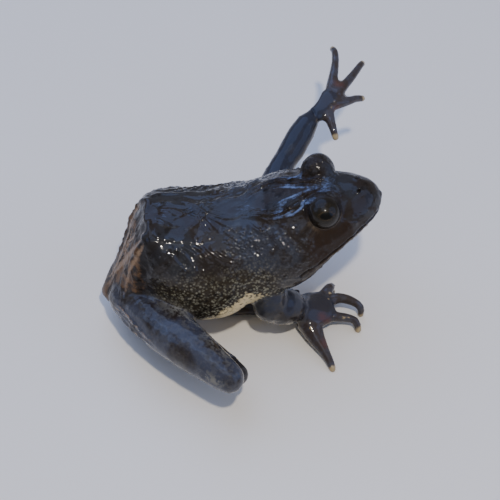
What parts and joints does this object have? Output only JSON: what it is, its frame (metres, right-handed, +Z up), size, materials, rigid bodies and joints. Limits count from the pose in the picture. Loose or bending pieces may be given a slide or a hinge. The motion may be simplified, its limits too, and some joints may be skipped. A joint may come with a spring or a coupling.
{
  "type": "stream frog figure",
  "caption": "Life-size still figure of a dark wet stream frog sitting with one arm reached out to the side, long folded legs and webbed feet.",
  "frame": {"origin": "middle of the model's box, on the floor plane that the hand, toes and web rest on", "axes": "+Z up from the floor, +X forward towards the snout, +Y to the frog's left, the side that the free arm is reached out to"},
  "size_m": [0.0418, 0.0562, 0.0267],
  "materials": {
    "skin_dark": "wet gloss skin",
    "skin_flank": "wet gloss mottled skin",
    "skin_limb": "wet gloss skin",
    "digit_brown": "satin, slightly translucent in life",
    "eye_brown": "polished"
  },
  "bodies": {
    "root": {"head": "skin_dark", "lower_jaw": "skin_dark", "eye_left": "eye_brown", "eye_right": "eye_brown", "torso": "skin_flank", "pelvis": "skin_dark", "upper_arm_left": "skin_limb", "upper_arm_right": "skin_limb", "forearm_left": "skin_limb", "forearm_right": "skin_limb", "hand_left": "skin_limb", "hand_right": "skin_limb", "finger_1_left": "digit_brown", "finger_2_left": "digit_brown", "finger_3_left": "digit_brown", "finger_4_left": "digit_brown", "finger_1_right": "digit_brown", "finger_2_right": "digit_brown", "finger_3_right": "digit_brown", "finger_4_right": "digit_brown", "thigh_left": "skin_limb", "thigh_right": "skin_limb", "shank_left": "skin_limb", "shank_right": "skin_limb", "tarsus_left": "skin_limb", "tarsus_right": "skin_limb", "foot_left": "digit_brown", "foot_right": "digit_brown"}
  },
  "joints": []
}
